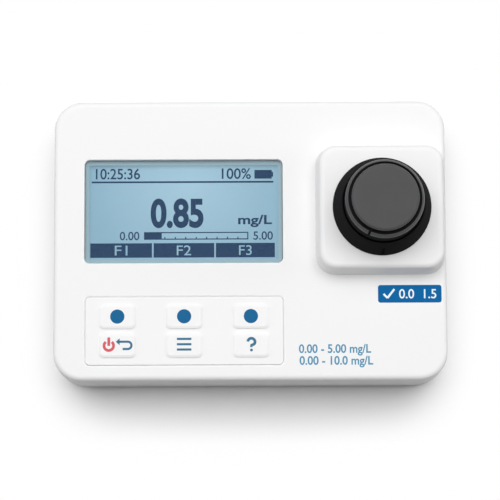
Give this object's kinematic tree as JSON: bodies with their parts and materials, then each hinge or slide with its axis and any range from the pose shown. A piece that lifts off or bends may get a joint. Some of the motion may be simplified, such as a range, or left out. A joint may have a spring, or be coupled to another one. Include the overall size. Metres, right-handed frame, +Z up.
{
  "type": "digital water tester",
  "caption": "Portable photometer for water samples: white casing with backlit display and sprung keys, and a turret that holds a capped round glass cuvette.",
  "frame": {"origin": "middle of the footprint, on the surface that the four feet stand on", "axes": "+X to the right along the long side, towards the cuvette turret; +Y to the back, away from the keys; +Z up"},
  "size_m": [0.1424, 0.1024, 0.0625],
  "materials": {
    "white_casing": "moulded ABS, fine satin texture",
    "white_keypad": "moulded plastic, satin",
    "black_collar": "moulded black plastic, matt",
    "black_cap": "moulded black plastic, satin",
    "rubber": "moulded rubber",
    "liner": "soft natural polyethylene",
    "window": "clear polycarbonate, polished",
    "display": "liquid crystal cell",
    "diffuser": "white light guide",
    "board": "green solder mask on glass-fibre board",
    "dark_parts": "black moulded electronic parts",
    "steel": "zinc-plated steel",
    "nickel": "nickel-plated spring steel",
    "cell_jacket": "printed steel can, plain blue",
    "clear_glass": "clear glass",
    "filter_glass": "coated interference filter",
    "foil": "amber polyimide flex",
    "cable": "grey ribbon cable"
  },
  "bodies": {
    "casing": {"top_housing": "white_casing", "bottom_housing": "white_casing", "keypad_panel": "white_keypad", "cuvette_collar": "black_collar", "collar_nut": "black_collar", "optical_block": "black_collar", "housing_seal": "rubber", "window_gasket": "rubber", "keypad_mat": "rubber", "collar_seal": "rubber", "foot_1": "rubber", "foot_2": "rubber", "foot_3": "rubber", "foot_4": "rubber", "display_window": "window", "display_glass": "display", "display_backlight": "diffuser", "main_board": "board", "lamp_board": "board", "detector_board": "board", "processor": "dark_parts", "buzzer": "dark_parts", "display_frame": "dark_parts", "ribbon_connector": "dark_parts", "reference_detector": "dark_parts", "case_screw_1": "steel", "case_screw_2": "steel", "case_screw_3": "steel", "case_screw_4": "steel", "board_screw_1": "steel", "board_screw_2": "steel", "board_screw_3": "steel", "board_screw_4": "steel", "photodetector": "steel", "battery_contact_positive": "nickel", "battery_contact_negative": "nickel", "battery_link_left": "nickel", "battery_link_right": "nickel", "battery_1": "cell_jacket", "battery_2": "cell_jacket", "battery_3": "cell_jacket", "lamp_lens": "clear_glass", "lamp": "clear_glass", "light_filter": "filter_glass", "display_ribbon": "foil", "lamp_cable": "cable", "detector_cable": "cable"},
    "cuvette": {"cuvette": "clear_glass"},
    "cap_liner": {"cap_liner": "liner"},
    "cuvette_cap": {"cuvette_cap": "black_cap"},
    "cover_seal": {"battery_cover_seal": "rubber"},
    "battery_cover": {"battery_cover": "white_casing"},
    "key_f1": {"key_f1": "white_keypad"},
    "key_f2": {"key_f2": "white_keypad"},
    "key_f3": {"key_f3": "white_keypad"},
    "key_power": {"key_power": "white_keypad"},
    "key_menu": {"key_menu": "white_keypad"},
    "key_help": {"key_help": "white_keypad"}
  },
  "joints": [
    {"name": "key_f1_press", "type": "slide", "parent": "casing", "child": "key_f1", "axis": [0, 0, -1], "range_m": [0, 0.0006], "stiffness_N_per_m": 1500, "springref_m": -0.0002},
    {"name": "key_f2_press", "type": "slide", "parent": "casing", "child": "key_f2", "axis": [0, 0, -1], "range_m": [0, 0.0006], "stiffness_N_per_m": 1500, "springref_m": -0.0002},
    {"name": "key_f3_press", "type": "slide", "parent": "casing", "child": "key_f3", "axis": [0, 0, -1], "range_m": [0, 0.0006], "stiffness_N_per_m": 1500, "springref_m": -0.0002},
    {"name": "key_power_press", "type": "slide", "parent": "casing", "child": "key_power", "axis": [0, 0, -1], "range_m": [0, 0.0006], "stiffness_N_per_m": 1500, "springref_m": -0.0002},
    {"name": "key_menu_press", "type": "slide", "parent": "casing", "child": "key_menu", "axis": [0, 0, -1], "range_m": [0, 0.0006], "stiffness_N_per_m": 1500, "springref_m": -0.0002},
    {"name": "key_help_press", "type": "slide", "parent": "casing", "child": "key_help", "axis": [0, 0, -1], "range_m": [0, 0.0006], "stiffness_N_per_m": 1500, "springref_m": -0.0002},
    {"name": "cuvette_lift", "type": "slide", "parent": "casing", "child": "cuvette", "axis": [0, 0, 1], "range_m": [0, 0.06]},
    {"name": "cap_rise", "type": "slide", "parent": "cuvette", "child": "cap_liner", "axis": [0, 0, 1], "range_m": [0, 0.0045]},
    {"name": "cap_turn", "type": "hinge", "parent": "cap_liner", "child": "cuvette_cap", "pos_m": [0.04725, 0.0104, 0.05], "axis": [0, 0, 1], "range_deg": [0, 540]},
    {"name": "cover_drop", "type": "slide", "parent": "casing", "child": "cover_seal", "axis": [0, 0, -1], "range_m": [0, 0.0009]},
    {"name": "cover_turn", "type": "hinge", "parent": "cover_seal", "child": "battery_cover", "pos_m": [-0.024, 0, 0.003], "axis": [0, 0, -1], "range_deg": [0, 35]}
  ],
  "couplings": [
    {"joint": "cap_turn", "follows": "cap_rise", "rad_per_m": 2094.4},
    {"joint": "cover_turn", "follows": "cover_drop", "rad_per_m": 678.74}
  ]
}
